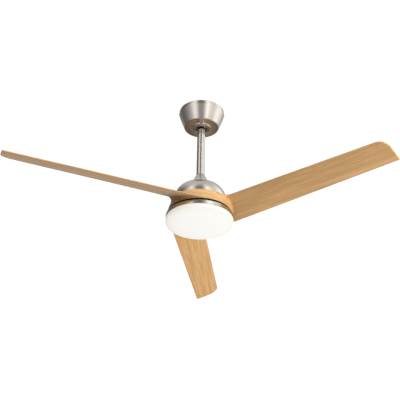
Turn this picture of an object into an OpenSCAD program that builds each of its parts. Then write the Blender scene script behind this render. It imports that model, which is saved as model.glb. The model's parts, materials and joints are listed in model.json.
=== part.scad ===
// Three-blade ceiling fan with a round light, hung on a downrod.
// Frame: origin on the ceiling plane at the middle of the mounting bracket, +Z up, millimetres.

/* [Canopy] */
// Diameter of the canopy rim at the ceiling
canopy_d = 150; // [146:0.5:160]
// Height of the canopy
canopy_h = 62.5; // [62:0.5:70]
// Diameter of the canopy's flat bottom
canopy_bottom_d = 114; // [108:1:120]

/* [Downrod] */
// Outer diameter of the downrod
rod_d = 26.7; // [26:0.1:26.7]
// Distance from the ceiling down to the top of the coupling cover
cover_top_drop = 254.5; // [200:0.5:600]

/* [Motor housing] */
// Largest diameter of the domed housing
housing_d = 171; // [168:1:176]
// Height of the domed housing
housing_h = 66.5; // [64:0.5:72]

/* [Blades] */
// Diameter of the circle that the blade tips sweep
span = 1320; // [1000:10:1500]
// Pitch of the blades, in degrees
pitch = 20.2; // [18:0.1:21]
// Chord of a blade near its tip, measured level
tip_chord = 79; // [60:1:84]
// Direction of the first blade, in degrees from +X
heading = -36.5; // [-120:0.5:120]
// Diameter of the blade hub at its top edge
hub_top_d = 186; // [184:1:188]
// Diameter of the blade hub at its bottom edge
hub_bottom_d = 206; // [204:1:208]
// Height of the blade hub
hub_h = 38; // [37:0.5:40]

/* [Light] */
// Diameter of the metal ring round the light
ring_d = 215; // [214:0.5:217]
// Height of the metal ring
ring_h = 13; // [13:0.5:16]
// Depth of the diffuser below the ring
diffuser_depth = 22; // [19:1:32]

/* [Hidden] */
$fn = 96;
eps = 0.1;          // overrun of a cutting tool past the face it cuts
sheet = 1.2;        // thickness of the spun and pressed metal covers
n_blades = 3;

// Heights, from the ceiling down
z_canopy_top = -1.5;
z_canopy_bottom = z_canopy_top - canopy_h;
z_pivot = -36;                              // centre of the hanger ball
z_cover_top = -cover_top_drop;
z_housing_top = z_cover_top - 35;
z_housing_bottom = z_housing_top - housing_h;
z_hub_top = z_housing_bottom - 2;
z_hub_bottom = z_hub_top - hub_h;
z_ring_top = z_hub_bottom - 9;
z_ring_bottom = z_ring_top - ring_h;

// Ceiling bracket and ball socket
plate_t = 2.5;
plate_r = 56;
slot_at = 40;
slot_r = 2.75;
slot_length = 20;
arm_y = 32;                                 // inner face of each side arm
arm_w = 30;
ear_x = 72.6;                               // outer face of each ear
canopy_screw_z = -9;
ball_r = 25;
liner_in = ball_r + 0.08;
liner_out = ball_r + 2;
socket_in = liner_out + 0.08;
socket_r = 34;
socket_low = z_pivot - 18.5;
socket_top = z_pivot - 5;
rod_slot_w = 29;                            // side opening that the rod hangs in through
lead_r = 2;
lead_y = 4.6;                               // the lead runs beside the clevis pin
lead_gap = 0.8;                             // from the ball's centre to the end of each lead
lead_z = -8.5;                              // height of the lead above the rod
lead_bend = 6;

// Downrod and its couplings
rod_r = rod_d / 2;
rod_in = rod_r - 2;
z_rod_top = -16;
z_rod_bottom = z_cover_top - 29.5;
z_ball_pin = z_pivot + 9;
z_clevis = z_rod_bottom + 8;
pin_r = 3;
clevis_r = 2.5;
cover_top_r = 14.8;
cover_low_r = 30.4;
yoke_r = 17;
flange_r = 28;
z_flange_top = z_housing_top - 2.8;
z_flange_low = z_flange_top - 3.7;

// Motor
shaft_r = 8.48;
shaft_in = 6.8;
z_shaft_low = z_ring_top + 1;
bearing_r = 15;
bearing_w = 9;
z_case_top = z_housing_top - 41.5;
z_case_flange = z_case_top - 41;            // top of the upper case's bottom flange
z_case_low = z_case_flange - 3;             // face that the two case halves meet on
z_case_base = z_case_low - 4;               // underside of the lower case
case_r = 66;
case_flange_r = 74;
carrier_r = 88;
z_stator_mid = (z_case_top + z_case_low) / 2 + 1;
stator_h = 20;
tooth_r = 57.3;
n_teeth = 12;
n_magnets = 14;
blade_bolt_r = 80;
n_blade_bolts = 9;

// Light
z_mount_plate = z_hub_bottom + 2;           // top of the light's mounting plate
mount_plate_r = 58;
standoff_r = 50;
ring_r = ring_d / 2;
neck_r = 101.3;                             // outside of the diffuser's neck
tab_in = 102;
twist_tab_deg = 22;
twist_lug_deg = 16;
z_tab = z_ring_bottom + 4;                  // underside of the pan's holding tabs
board_in = 60;
board_r = 94;

// Blade planform: x runs along the blade, y across it towards its low edge
tip_r = span / 2;
low_edge_y = hub_bottom_d / 2 + 0.3;
low_edge_taper = 0.0385;
high_edge_y = 4;
high_edge_taper = 0.0058;
root_flare = 36;
tip_corner = 34;
tip_skew = 0.072;
blade_t = 6;
edge_t = 2.4;
wall_t = 3;
wall_start = -30;                           // angle at which a blade's hub wall begins
n_rows = 32;
n_wall = 4;
n_fillet = 4;
stations = [0.004, 0.012, 0.025, 0.045, 0.075, 0.12, 0.2, 0.34, 0.5, 0.66, 0.8, 0.9, 0.96, 0.99, 1];

// Points of an arc about (x, y), in steps from angle a to angle b
function arc(x, y, r, a, b, n) = [for (i = [0:n]) [x + r * cos(a + (b - a) * i / n), y + r * sin(a + (b - a) * i / n)]];

// Radius of the domed housing at a share k of its height, as a superellipse quarter
function dome_point(r, h, k) = [r * pow(cos(90 * k), 2 / 2.9), h * pow(sin(90 * k), 2 / 2.2)];

module screw_down(r, head_r, head_h, length) {
    // head underside at z = 0, shank pointing down
    cylinder(r = head_r, h = head_h);
    translate([0, 0, -length]) cylinder(r = r, h = length + eps);
}

module at_angles(count, r, start = 0) {
    for (i = [0:count - 1]) rotate(start + i * 360 / count) translate([r, 0, 0]) children();
}

module tube(r_out, r_in, z_low, z_high) {
    translate([0, 0, z_low]) difference() {
        cylinder(r = r_out, h = z_high - z_low);
        translate([0, 0, -eps]) cylinder(r = r_in, h = z_high - z_low + 2 * eps);
    }
}

module sector(r_out, r_in, z_low, z_high, from, to) {
    rotate(from) rotate_extrude(angle = to - from)
        translate([r_in, z_low]) square([r_out - r_in, z_high - z_low]);
}

// ---- held by the ceiling ----

module slot(x) {
    reach = slot_length / 2 - slot_r;
    for (s = [-1, 1]) translate([x + s * reach, 0, -plate_t - eps]) cylinder(r = slot_r, h = plate_t + 2 * eps);
    translate([x - reach, -slot_r, -plate_t - eps]) cube([2 * reach, 2 * slot_r, plate_t + 2 * eps]);
}

module mounting_bracket() {
    color("silver") difference() {
        union() {
            translate([0, 0, -plate_t]) cylinder(r = plate_r, h = plate_t);
            for (s = [0, 180]) rotate(s) {
                translate([plate_r - 6, -9, -plate_t]) cube([ear_x - plate_r + 6, 18, plate_t]);
                translate([ear_x - 2, -9, -15]) cube([2, 18, 15]);
            }
            for (s = [-1, 1])
                translate([-arm_w / 2, s > 0 ? arm_y : -arm_y - plate_t, socket_top - 6])
                    cube([arm_w, plate_t, -socket_top + 6 - plate_t + eps]);
            translate([0, 0, socket_low]) cylinder(r = socket_r, h = socket_top - socket_low);
        }
        translate([0, 0, z_pivot]) sphere(r = socket_in);
        translate([0, -rod_slot_w / 2, socket_low - eps])
            cube([socket_r + 5, rod_slot_w, socket_top - socket_low + 2 * eps]);
        for (x = [-slot_at, slot_at]) slot(x);
        translate([0, -22, -plate_t - eps]) cylinder(r = 7, h = plate_t + 2 * eps);
        translate([-26, -26, -plate_t - eps]) cylinder(r = 2, h = plate_t + 2 * eps);
        for (s = [0, 180]) rotate(s)
            translate([ear_x - 3, 0, canopy_screw_z]) rotate([0, 90, 0]) cylinder(r = 2.05, h = 4);
        translate([0, arm_y - 1, lead_z]) rotate([-90, 0, 0]) cylinder(r = 4, h = plate_t + 2);
        for (x = [-9, 9]) translate([x, arm_y - 1, -22]) rotate([-90, 0, 0]) cylinder(r = 1.6, h = plate_t + 2);
    }
    // key that stops the ball turning about the rod
    color("silver") translate([-socket_in - 2, -2, z_pivot - 9]) cube([socket_in + 2 - 22.5, 4, 3.5]);
}

module canopy() {
    rim_r = canopy_d / 2;
    rim_low = z_canopy_top - 13;
    low_r = canopy_bottom_d / 2;
    lean = atan2(rim_r - low_r, rim_low - z_canopy_bottom);
    // the cone meets the rim and the flat bottom in rounded bends
    bend = 12;
    fillet = 5;
    bend_z = rim_low + bend * tan(lean / 2);
    fillet_x = low_r - fillet * tan((90 - lean) / 2);
    outer = concat(
        [[22, z_canopy_bottom]],
        arc(fillet_x, z_canopy_bottom + fillet, fillet, -90, -lean, 6),
        arc(rim_r - bend, bend_z, bend, -lean, 0, 5),
        [[rim_r, z_canopy_top]]
    );
    inner = concat(
        [[rim_r - sheet, z_canopy_top]],
        arc(rim_r - bend, bend_z, bend - sheet, 0, -lean, 5),
        arc(fillet_x, z_canopy_bottom + fillet, fillet - sheet, -lean, -90, 6),
        [[22, z_canopy_bottom + sheet]]
    );
    color("silver") difference() {
        rotate_extrude() polygon(concat(outer, inner));
        for (s = [0, 180]) rotate(s)
            translate([rim_r - 4, 0, canopy_screw_z]) rotate([0, 90, 0]) cylinder(r = 2.3, h = 8);
    }
}

module canopy_trim_ring() {
    color("silver") rotate_extrude() polygon(concat(
        [[20, z_canopy_bottom + 2], [21.9, z_canopy_bottom + 2], [21.9, z_canopy_bottom], [33, z_canopy_bottom]],
        arc(28.5, z_canopy_bottom, 4.5, 0, -70, 6),
        [[26, z_canopy_bottom - 5.4], [23, z_canopy_bottom - 5.7]],
        arc(21.8, z_canopy_bottom - 3.9, 1.8, -90, -180, 5)
    ));
}

module canopy_screws() {
    color("silver") for (s = [0, 180]) rotate(s) translate([canopy_d / 2, 0, canopy_screw_z]) rotate([0, 90, 0])
        difference() {
            screw_down(2, 3.8, 1.2, 6);
            translate([-0.5, -3, 0.6]) cube([1, 6, 1]);
        }
}

module receiver_box() {
    color("ivory") difference() {
        translate([-26, arm_y + plate_t, -36]) cube([52, 20, 30]);
        for (x = [-9, 9]) translate([x, arm_y, -22]) rotate([-90, 0, 0]) cylinder(r = 1.6, h = 9.5);
        for (x = [-20:5:20]) translate([x, arm_y + plate_t + 19, -30]) cube([2, 2, 18]);
    }
}

module receiver_screws() {
    color("silver") for (x = [-9, 9]) translate([x, arm_y, -22]) rotate([90, 0, 0]) screw_down(1.5, 2.8, 1.6, 9);
}

module terminal_block() {
    color("white") difference() {
        translate([-15, -arm_y - plate_t - 17, -20]) cube([30, 17, 14]);
        for (x = [-10, 0, 10]) {
            translate([x, -arm_y - plate_t - 17 - eps, -13]) rotate([-90, 0, 0]) cylinder(r = 2.2, h = 12);
            translate([x, -arm_y - plate_t - 8, -20 - eps]) cylinder(r = 1.8, h = 8);
        }
    }
}

module earth_screw() {
    color("green") translate([-26, -26, -plate_t]) rotate([180, 0, 0]) screw_down(1.95, 4, 2.4, plate_t - 0.2);
}

module receiver_lead() {
    color("black") {
        translate([0, lead_y, z_pivot + lead_gap])
            cylinder(r = lead_r, h = lead_z - lead_bend - z_pivot - lead_gap);
        translate([0, lead_y + lead_bend, lead_z - lead_bend]) rotate([0, 0, 90]) rotate([90, 0, 0])
            rotate([0, 0, 90]) rotate_extrude(angle = 90) translate([lead_bend, 0]) circle(r = lead_r);
        translate([0, lead_y + lead_bend, lead_z]) rotate([-90, 0, 0])
            cylinder(r = lead_r, h = arm_y + plate_t - lead_y - lead_bend);
    }
}

// ---- swivel: tilts one way in the socket, and the ball tilts the other way in it ----

module ball_seat_liner() {
    color("dimgray") difference() {
        translate([0, 0, z_pivot]) intersection() {
            difference() {
                sphere(r = liner_out);
                sphere(r = liner_in);
            }
            translate([0, 0, -17.5]) cylinder(r = 40, h = 14.5);
        }
        translate([0, -rod_slot_w / 2, z_pivot - 30]) cube([50, rod_slot_w, 40]);
        translate([-50, -5, z_pivot - 14.5]) cube([50, 10, 20]);
    }
}

// ---- hangs from the ball ----

module hanger_ball() {
    color("black") difference() {
        translate([0, 0, z_pivot]) intersection() {
            sphere(r = ball_r);
            translate([0, 0, -16]) cylinder(r = 40, h = 28);
        }
        translate([0, 0, z_pivot - 30]) cylinder(r = rod_r + 0.05, h = 60);
        translate([-40, -4.5, z_pivot - 30]) cube([20, 9, 60]);
        translate([0, 0, z_ball_pin]) rotate([90, 0, 0]) cylinder(r = pin_r + 0.1, h = 80, center = true);
        translate([-pin_r - 0.1, -40, z_ball_pin]) cube([2 * pin_r + 0.2, 80, 20]);
    }
}

module hanger_ball_pins() {
    // two short pins, so that the bore of the rod stays free for the lead
    color("silver") for (s = [0, 180]) rotate(s)
        translate([0, rod_in - 0.5, z_ball_pin]) rotate([-90, 0, 0]) cylinder(r = pin_r, h = 21 - rod_in + 0.5);
}

module downrod() {
    color("silver") difference() {
        tube(rod_r, rod_in, z_rod_bottom, z_rod_top);
        translate([0, 0, z_ball_pin]) rotate([90, 0, 0]) cylinder(r = pin_r + 0.05, h = 60, center = true);
        translate([0, 0, z_clevis]) rotate([0, 90, 0]) cylinder(r = clevis_r + 0.05, h = 60, center = true);
    }
}

module cover_grommet() {
    color("black") rotate_extrude() polygon(concat(
        [[rod_r + 0.05, z_cover_top - 3], [cover_top_r - 0.9, z_cover_top - 3], [cover_top_r - 0.9, z_cover_top]],
        arc(cover_top_r - 0.8, z_cover_top + 0.8, 0.8, -90, 90, 6),
        [[rod_r + 0.05, z_cover_top + 1.6]]
    ));
}

module coupling_cover() {
    low_z = z_housing_top - 0.9;
    outer = concat(
        [[cover_top_r - 0.8, z_cover_top]],
        arc(cover_top_r - 0.8, z_cover_top - 2, 2, 90, 23, 4),
        [[cover_low_r - 1.2, low_z + 2.8], [cover_low_r - 0.3, low_z + 0.8], [cover_low_r, low_z]]
    );
    inner = [
        [cover_low_r - 1.4, low_z], [cover_low_r - 2.6, low_z + 3],
        [cover_top_r - 0.5, z_cover_top - 3.2], [cover_top_r - 0.8, z_cover_top - 3]
    ];
    color("silver") rotate_extrude() polygon(concat(outer, inner));
}

module yoke() {
    color("gray") difference() {
        union() {
            translate([0, 0, z_flange_low]) cylinder(r = yoke_r, h = z_cover_top - 10.5 - z_flange_low);
            translate([0, 0, z_flange_low]) cylinder(r = flange_r, h = z_flange_top - z_flange_low);
        }
        translate([0, 0, z_rod_bottom - 0.2]) cylinder(r = rod_r + 0.05, h = 60);
        translate([0, 0, z_flange_low - eps]) cylinder(r = shaft_r + 0.02, h = 60);
        translate([0, 0, z_clevis]) rotate([0, 90, 0]) cylinder(r = clevis_r + 0.05, h = 60, center = true);
        translate([0, 0, z_clevis + 7]) rotate([90, 0, 0]) cylinder(r = 2.55, h = 60, center = true);
        translate([0, 0, z_flange_low - eps]) at_angles(3, 24, 90) cylinder(r = 1.95, h = 10);
    }
}

module yoke_set_screws() {
    color("dimgray") for (s = [0, 180]) rotate(s)
        translate([0, rod_r + 0.1, z_clevis + 7]) rotate([-90, 0, 0]) difference() {
            cylinder(r = 2.5, h = 4.8);
            translate([0, 0, 3]) cylinder(r = 1.4, h = 3, $fn = 6);
        }
}

module clevis_pin() {
    color("silver") translate([0, 0, z_clevis]) rotate([0, 90, 0]) difference() {
        union() {
            translate([0, 0, -yoke_r - 0.1]) cylinder(r = clevis_r, h = 2 * yoke_r + 3.1);
            translate([0, 0, -yoke_r - 1.7]) cylinder(r = 4.2, h = 1.6);
        }
        translate([0, 0, yoke_r + 1.4]) rotate([0, 90, 0]) cylinder(r = 0.75, h = 20, center = true);
    }
}

module cotter_pin() {
    color("silver") translate([yoke_r + 1.4, 0, z_clevis]) {
        translate([0, 0, -5]) cylinder(r = 0.7, h = 8.6);
        translate([0, 0, 5.4]) rotate([0, 90, 0]) rotate_extrude() translate([1.7, 0]) circle(r = 0.7);
    }
}

module upper_housing() {
    steps = 22;
    hole_r = yoke_r + 1.2;
    r = housing_d / 2;
    outer = [for (i = [0:steps]) dome_point(r, housing_h, i / steps)];
    inner = [for (i = [steps:-1:0]) dome_point(r - sheet, housing_h - sheet, i / steps)];
    color("silver") difference() {
        translate([0, 0, z_housing_bottom]) rotate_extrude() polygon(concat(outer, inner));
        translate([0, 0, z_housing_top - 10]) cylinder(r = hole_r, h = 20);
        translate([0, 0, z_housing_top - 10]) at_angles(3, 24, 90) cylinder(r = 2.1, h = 20);
    }
}

module housing_screws() {
    color("silver") translate([0, 0, z_housing_top - 0.6]) at_angles(3, 24, 90) screw_down(1.85, 3.2, 1.6, 5.4);
}

module motor_shaft() {
    color("gray") tube(shaft_r, shaft_in, z_shaft_low, z_rod_bottom - 0.4);
}

module stator_core() {
    color("dimgray") translate([0, 0, z_stator_mid - stator_h / 2]) difference() {
        union() {
            cylinder(r = 26, h = stator_h);
            for (i = [0:n_teeth - 1]) rotate(i * 360 / n_teeth) {
                translate([24, -4, 0]) cube([30, 8, stator_h]);
                rotate(-11) rotate_extrude(angle = 22) translate([tooth_r - 3.5, 0]) square([3.5, stator_h]);
            }
        }
        translate([0, 0, -eps]) cylinder(r = shaft_r + 0.02, h = stator_h + 2 * eps);
    }
}

module stator_windings() {
    color("peru") translate([0, 0, z_stator_mid]) for (i = [0:n_teeth - 1]) rotate(i * 360 / n_teeth)
        translate([39, 0, 0]) difference() {
            cube([24, 14, stator_h + 10], center = true);
            cube([25, 8.1, stator_h + 0.1], center = true);
            for (s = [-1, 1]) rotate(s * 15) translate([-12, s * 13.4, 0]) cube([30, 10, 60], center = true);
        }
}

module motor_lead() {
    color("black") translate([0, lead_y, z_ring_top - 2.2])
        cylinder(r = lead_r, h = z_pivot - lead_gap - z_ring_top + 2.2);
}

module shaft_collar() {
    color("gray") tube(12, shaft_r + 0.02, z_mount_plate, z_mount_plate + 5);
}

module light_mount_plate() {
    color("silver") difference() {
        tube(mount_plate_r, shaft_r + 0.02, z_mount_plate - 2, z_mount_plate);
        translate([0, 0, z_mount_plate - 5]) at_angles(3, standoff_r, 30) cylinder(r = 1.95, h = 10);
        translate([0, 0, z_mount_plate - 5]) at_angles(3, 34, 90) cylinder(r = 9, h = 10);
    }
}

module lock_washer() {
    color("silver") tube(14, shaft_r + 0.02, z_mount_plate - 3, z_mount_plate - 2);
}

module shaft_nut() {
    color("goldenrod") translate([0, 0, z_mount_plate - 9]) difference() {
        cylinder(r = 15, h = 6, $fn = 6);
        translate([0, 0, -eps]) cylinder(r = shaft_r + 0.02, h = 6 + 2 * eps);
    }
}

module pan_standoffs() {
    color("silver") at_angles(3, standoff_r, 30) tube(4, 2, z_ring_top, z_mount_plate - 2);
}

module neck_shroud() {
    color("black") tube(82, 80, z_ring_top, z_ring_top + 7);
}

module light_pan() {
    edge = 1.5;
    profile = concat(
        [[20, z_ring_top - 2], [20, z_ring_top]],
        arc(ring_r - edge, z_ring_top - edge, edge, 90, 0, 4),
        arc(ring_r - 0.6, z_ring_bottom + 0.6, 0.6, 0, -90, 3),
        [[ring_r - sheet, z_ring_bottom], [ring_r - sheet, z_ring_top - 2]]
    );
    color("silver") difference() {
        union() {
            rotate_extrude() polygon(profile);
            for (i = [0:2]) sector(ring_r - 0.6, tab_in, z_tab, z_tab + 1.5,
                i * 120 - twist_tab_deg / 2, i * 120 + twist_tab_deg / 2);
        }
        translate([0, 0, z_ring_top - 5]) at_angles(3, standoff_r, 30) cylinder(r = 2.1, h = 10);
    }
}

module pan_screws() {
    color("silver") translate([0, 0, z_ring_top - 2]) rotate([180, 0, 0]) at_angles(3, standoff_r, -30)
        screw_down(1.85, 3.6, 2, 12.5);
}

module led_driver() {
    color("white") translate([-28, -19, z_ring_top - 18]) difference() {
        cube([56, 38, 15.8]);
        for (x = [8:6:44]) translate([x, 6, -eps]) cube([2.5, 26, 1.2]);
    }
}

module led_board() {
    color("white") difference() {
        tube(board_r, board_in, z_ring_top - 3.6, z_ring_top - 2);
        translate([0, 0, z_ring_top - 10]) at_angles(4, 77, 45) cylinder(r = 1.7, h = 20);
    }
}

module led_chips() {
    color("yellow") for (ring = [[84, 24, 7.5], [69, 18, 10]])
        at_angles(ring[1], ring[0], ring[2]) translate([-2.5, -2.5, z_ring_top - 4.4]) cube([5, 5, 0.8]);
}

module led_board_screws() {
    color("silver") translate([0, 0, z_ring_top - 3.6]) rotate([180, 0, 0]) at_angles(4, 77, 45)
        screw_down(1.6, 3, 1.4, 1.5);
}

// ---- turns about the shaft ----

module rotor_case_upper() {
    boss_r = bearing_r + 3.5;
    color("gainsboro") difference() {
        union() {
            translate([0, 0, z_case_top - 3]) cylinder(r = case_r, h = 3);
            tube(case_r, case_r - 3, z_case_low, z_case_top);
            tube(case_flange_r, case_r - 3, z_case_low, z_case_flange);
            translate([0, 0, z_case_top - 3]) cylinder(r = boss_r, h = 13);
            for (i = [0:5]) rotate(i * 60 + 30) translate([boss_r - 1, -2, z_case_top - eps])
                cube([case_r - boss_r - 6, 4, 4]);
        }
        translate([0, 0, z_case_top - 4]) cylinder(r = bearing_r + 0.02, h = bearing_w + 4);
        translate([0, 0, z_case_top]) cylinder(r = shaft_r + 2, h = 20);
        translate([0, 0, z_case_low - eps]) at_angles(6, 70, 0) cylinder(r = 1.7, h = 20);
        translate([0, 0, z_case_top - 10]) at_angles(6, 42, 0) cylinder(r = 7, h = 20);
    }
}

module rotor_case_lower() {
    boss_r = bearing_r + 3.5;
    color("gainsboro") difference() {
        union() {
            translate([0, 0, z_case_base]) cylinder(r = carrier_r, h = 4);
            translate([0, 0, z_case_base - 8]) cylinder(r = boss_r, h = 10);
        }
        translate([0, 0, z_case_base - 9]) cylinder(r = bearing_r + 0.02, h = bearing_w + 1);
        translate([0, 0, z_case_base - 9]) cylinder(r = shaft_r + 2, h = 30);
        translate([0, 0, z_case_base - eps]) at_angles(6, 70, 0) cylinder(r = 1.55, h = 10);
        translate([0, 0, z_case_base - eps]) at_angles(n_blade_bolts, blade_bolt_r, heading - 10)
            cylinder(r = 2.5, h = 10);
    }
}

module rotor_case_screws() {
    color("silver") translate([0, 0, z_case_flange]) at_angles(6, 70, 0) screw_down(1.5, 2.7, 1.8, 6.5);
}

module rotor_magnets() {
    half = 180 / n_magnets - 0.8;
    color("dimgray") for (i = [0:n_magnets - 1])
        sector(case_r - 3.1, tooth_r + 0.5, z_stator_mid - stator_h / 2 - 1, z_stator_mid + stator_h / 2 + 1,
            i * 360 / n_magnets - half, i * 360 / n_magnets + half);
}

module bearing(z_low) {
    color("silver") difference() {
        tube(bearing_r, shaft_r + 0.05, z_low, z_low + bearing_w);
        for (z = [z_low - eps, z_low + bearing_w - 0.6]) translate([0, 0, z]) difference() {
            cylinder(r = bearing_r - 2, h = 0.6 + eps);
            cylinder(r = shaft_r + 2, h = 2);
        }
    }
}

module upper_bearing() {
    bearing(z_case_top);
}

module lower_bearing() {
    bearing(z_case_base - 8);
}

// Level distance from the blade's middle line to its low edge and its high edge, at x
function low_y(x) = low_edge_y - low_edge_taper * (low_edge_y - tip_chord) / 24.3 * x * x / (x + 50);
function high_y(x) = high_edge_y - high_edge_taper * x;
function wall_radius(z) = (hub_top_d + (hub_bottom_d - hub_top_d) * (z_hub_top - z) / hub_h) / 2;
function straight_y(s, x) = (1 - s) * high_y(x) + s * low_y(x);
// Share of the flare that is left at distance d out from the wall: a quarter circle
function flare_left(d) = d >= root_flare ? 0 : 1 - sqrt(1 - pow(1 - max(d, 0) / root_flare, 2));
function flare_y(s, d) = root_flare * pow(1 - s, 4) * flare_left(d);
function plane_z(y) = z_hub_top - 0.9 - tan(pitch) * y;
function thickness(s) = edge_t + (blade_t - edge_t) * pow(4 * s * (1 - s), 0.8);
// Where row s meets the hub wall: y there, then x, found in a few rounds
function root_y(s, x) = straight_y(s, x) - flare_y(s, 0);
function root_x(s, n = 8, x = 60) = n == 0 ? x : root_x(s, n - 1,
    sqrt(max(0, pow(wall_radius(plane_z(root_y(s, x))), 2) - pow(root_y(s, x), 2))));
// Where row s ends at the tip, with the rounded corner beside the high edge
function tip_line(s) = sqrt(pow(tip_r, 2) - pow(low_y(tip_r), 2))
    - tip_skew * (1 - s) * (low_y(tip_r) - high_y(tip_r));
function corner_cut(e) = e >= tip_corner ? 0 : tip_corner - sqrt(pow(tip_corner, 2) - pow(tip_corner - e, 2));
function tip_x(s) = tip_line(s) - corner_cut(s * (low_y(tip_r) - high_y(tip_r)));
function clamp(v, low, high) = min(max(v, low), high);
// Height of the blade's middle surface: the pitched plane, held inside the hub wall close to it
function mid_z(s, y, d) = let (
    held = clamp(plane_z(y), z_hub_bottom + thickness(s) / 2 + 0.6, z_hub_top - thickness(s) / 2 - 0.6),
    free = min(plane_z(y), z_hub_top - thickness(s) / 2 - 0.6),
    k = clamp(d / 30, 0, 1)
) held + (free - held) * k * k * (3 - 2 * k);

// One closed loop of points round row s: hub wall inside, wall above, blade top, tip, blade underside, wall below
function row(s) = let (
    x0 = root_x(s), y0 = root_y(s, x0), angle = asin(clamp(y0 / wall_radius(plane_z(y0)), -1, 1)),
    h = thickness(s), zm = mid_z(s, y0, 0), reach = tip_x(s) - x0,
    rf_top = min(14, 0.8 * (z_hub_top - zm - h / 2)), rf_low = min(12, 0.8 * (zm - h / 2 - z_hub_bottom)),
    on_wall = function (z, inset) [(wall_radius(z) - inset) * cos(angle), (wall_radius(z) - inset) * sin(angle), z],
    out = function (d, dz) let (
        y = straight_y(s, x0 + d) - flare_y(s, d), z = mid_z(s, y, d) + dz,
        lean = (wall_radius(z) - wall_radius(zm)) * max(0, 1 - d / 20)
    ) [x0 + d + lean * cos(angle), y + lean * sin(angle), z]
) concat(
    [on_wall(z_hub_bottom, wall_t), on_wall(z_hub_top, wall_t)],
    [on_wall(z_hub_top, 0), on_wall(zm + h / 2 + rf_top, 0)],
    [for (i = [1:n_fillet]) let (a = 90 * i / n_fillet) out(rf_top * (1 - cos(a)), h / 2 + rf_top * (1 - sin(a)))],
    [for (t = stations) out(rf_top + (reach - rf_top) * t, t > 0.995 ? h * 0.2 : h / 2)],
    [for (i = [len(stations) - 1:-1:0]) let (t = stations[i])
        out(rf_low + (reach - rf_low) * t, t > 0.995 ? -h * 0.2 : -h / 2)],
    [for (i = [n_fillet:-1:1]) let (a = 90 * i / n_fillet) out(rf_low * (1 - cos(a)), -h / 2 - rf_low * (1 - sin(a)))],
    [on_wall(zm - h / 2 - rf_low, 0), on_wall(z_hub_bottom, 0)]
);
// The hub wall alone, at an angle short of the blade: it matches the wall points of row 0
function wall_column(angle) = let (h = thickness(0), zm = mid_z(0, root_y(0, root_x(0)), 0),
    rf_top = 0.8 * (z_hub_top - zm - h / 2), rf_low = min(12, 0.8 * (zm - h / 2 - z_hub_bottom)),
    on_wall = function (z, inset) [(wall_radius(z) - inset) * cos(angle), (wall_radius(z) - inset) * sin(angle), z]
) [
    on_wall(z_hub_bottom, wall_t), on_wall(z_hub_top, wall_t), on_wall(z_hub_top, 0),
    on_wall(zm + h / 2 + rf_top, 0), on_wall(zm - h / 2 - rf_low, 0), on_wall(z_hub_bottom, 0)
];

module blade_shape() {
    // rows crowd towards both edges, where the tip corner, the flare and the tangent root are
    shares = [for (i = [0:n_rows - 1]) (1 - cos(180 * i / (n_rows - 1))) / 2];
    rows = [for (s = shares) row(s)];
    first_angle = asin(rows[0][3][1] / norm([rows[0][3][0], rows[0][3][1]]));
    columns = [for (i = [0:n_wall - 1]) wall_column(wall_start + 0.15 + (first_angle - wall_start - 0.15) * i / n_wall)];
    n = len(rows[0]);
    base = 6 * n_wall;
    // index of a wall point k of column c; column n_wall is row 0, whose wall points are at both ends of its loop
    function wall_id(c, k) = c < n_wall ? 6 * c + k : base + (k < 4 ? k : n - 6 + k);
    function id(r, k) = base + n * r + k % n;
    wall_faces = [for (c = [0:n_wall - 1], k = [0:5]) let (j = (k + 1) % 6)
        each [[wall_id(c, k), wall_id(c + 1, j), wall_id(c, j)], [wall_id(c, k), wall_id(c + 1, k), wall_id(c + 1, j)]]];
    row_faces = [for (r = [0:n_rows - 2], k = [0:n - 1])
        each [[id(r, k), id(r + 1, k + 1), id(r, k + 1)], [id(r, k), id(r + 1, k), id(r + 1, k + 1)]]];
    last = n_rows - 1;
    // strips across the open sides of the first and last rows: point 3 + i faces point n - 2 - i
    strips = [for (i = [0:(n - 8) / 2]) each [
        [id(0, 3 + i), id(0, n - 3 - i), id(0, n - 2 - i)], [id(0, 3 + i), id(0, 4 + i), id(0, n - 3 - i)],
        [id(last, 3 + i), id(last, n - 3 - i), id(last, 4 + i)],
        [id(last, 3 + i), id(last, n - 2 - i), id(last, n - 3 - i)]
    ]];
    start_cap = [[0, 4, 5], [0, 3, 4], [0, 1, 3], [1, 2, 3]];
    end_cap = [
        [id(last, 0), id(last, n - 1), id(last, n - 2)], [id(last, 0), id(last, n - 2), id(last, 3)],
        [id(last, 0), id(last, 3), id(last, 1)], [id(last, 1), id(last, 3), id(last, 2)]
    ];
    polyhedron(points = concat([for (c = columns) each c], [for (r = rows) each r]),
        faces = concat(wall_faces, row_faces, strips, start_cap, end_cap));
}

module blade(i) {
    color("burlywood") rotate(heading + i * 360 / n_blades) blade_shape();
}

module blade_foot(i) {
    inner_wall = wall_radius(z_case_base) - wall_t - 0.15;
    color("gainsboro") rotate(heading + i * 360 / n_blades) difference() {
        sector(inner_wall, case_r - 2, z_case_base - 4, z_case_base, wall_start + 1, wall_start + 119);
        for (a = [-10, 30, 70]) rotate(a) translate([blade_bolt_r, 0, z_case_base - 5]) cylinder(r = 2.6, h = 6);
    }
}

module blade_screws() {
    color("silver") translate([0, 0, z_case_base - 4]) rotate([180, 0, 0])
        at_angles(n_blade_bolts, blade_bolt_r, -heading + 10) screw_down(2.45, 4.4, 2.8, 7.6);
}

// ---- twists off the light pan ----

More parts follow.
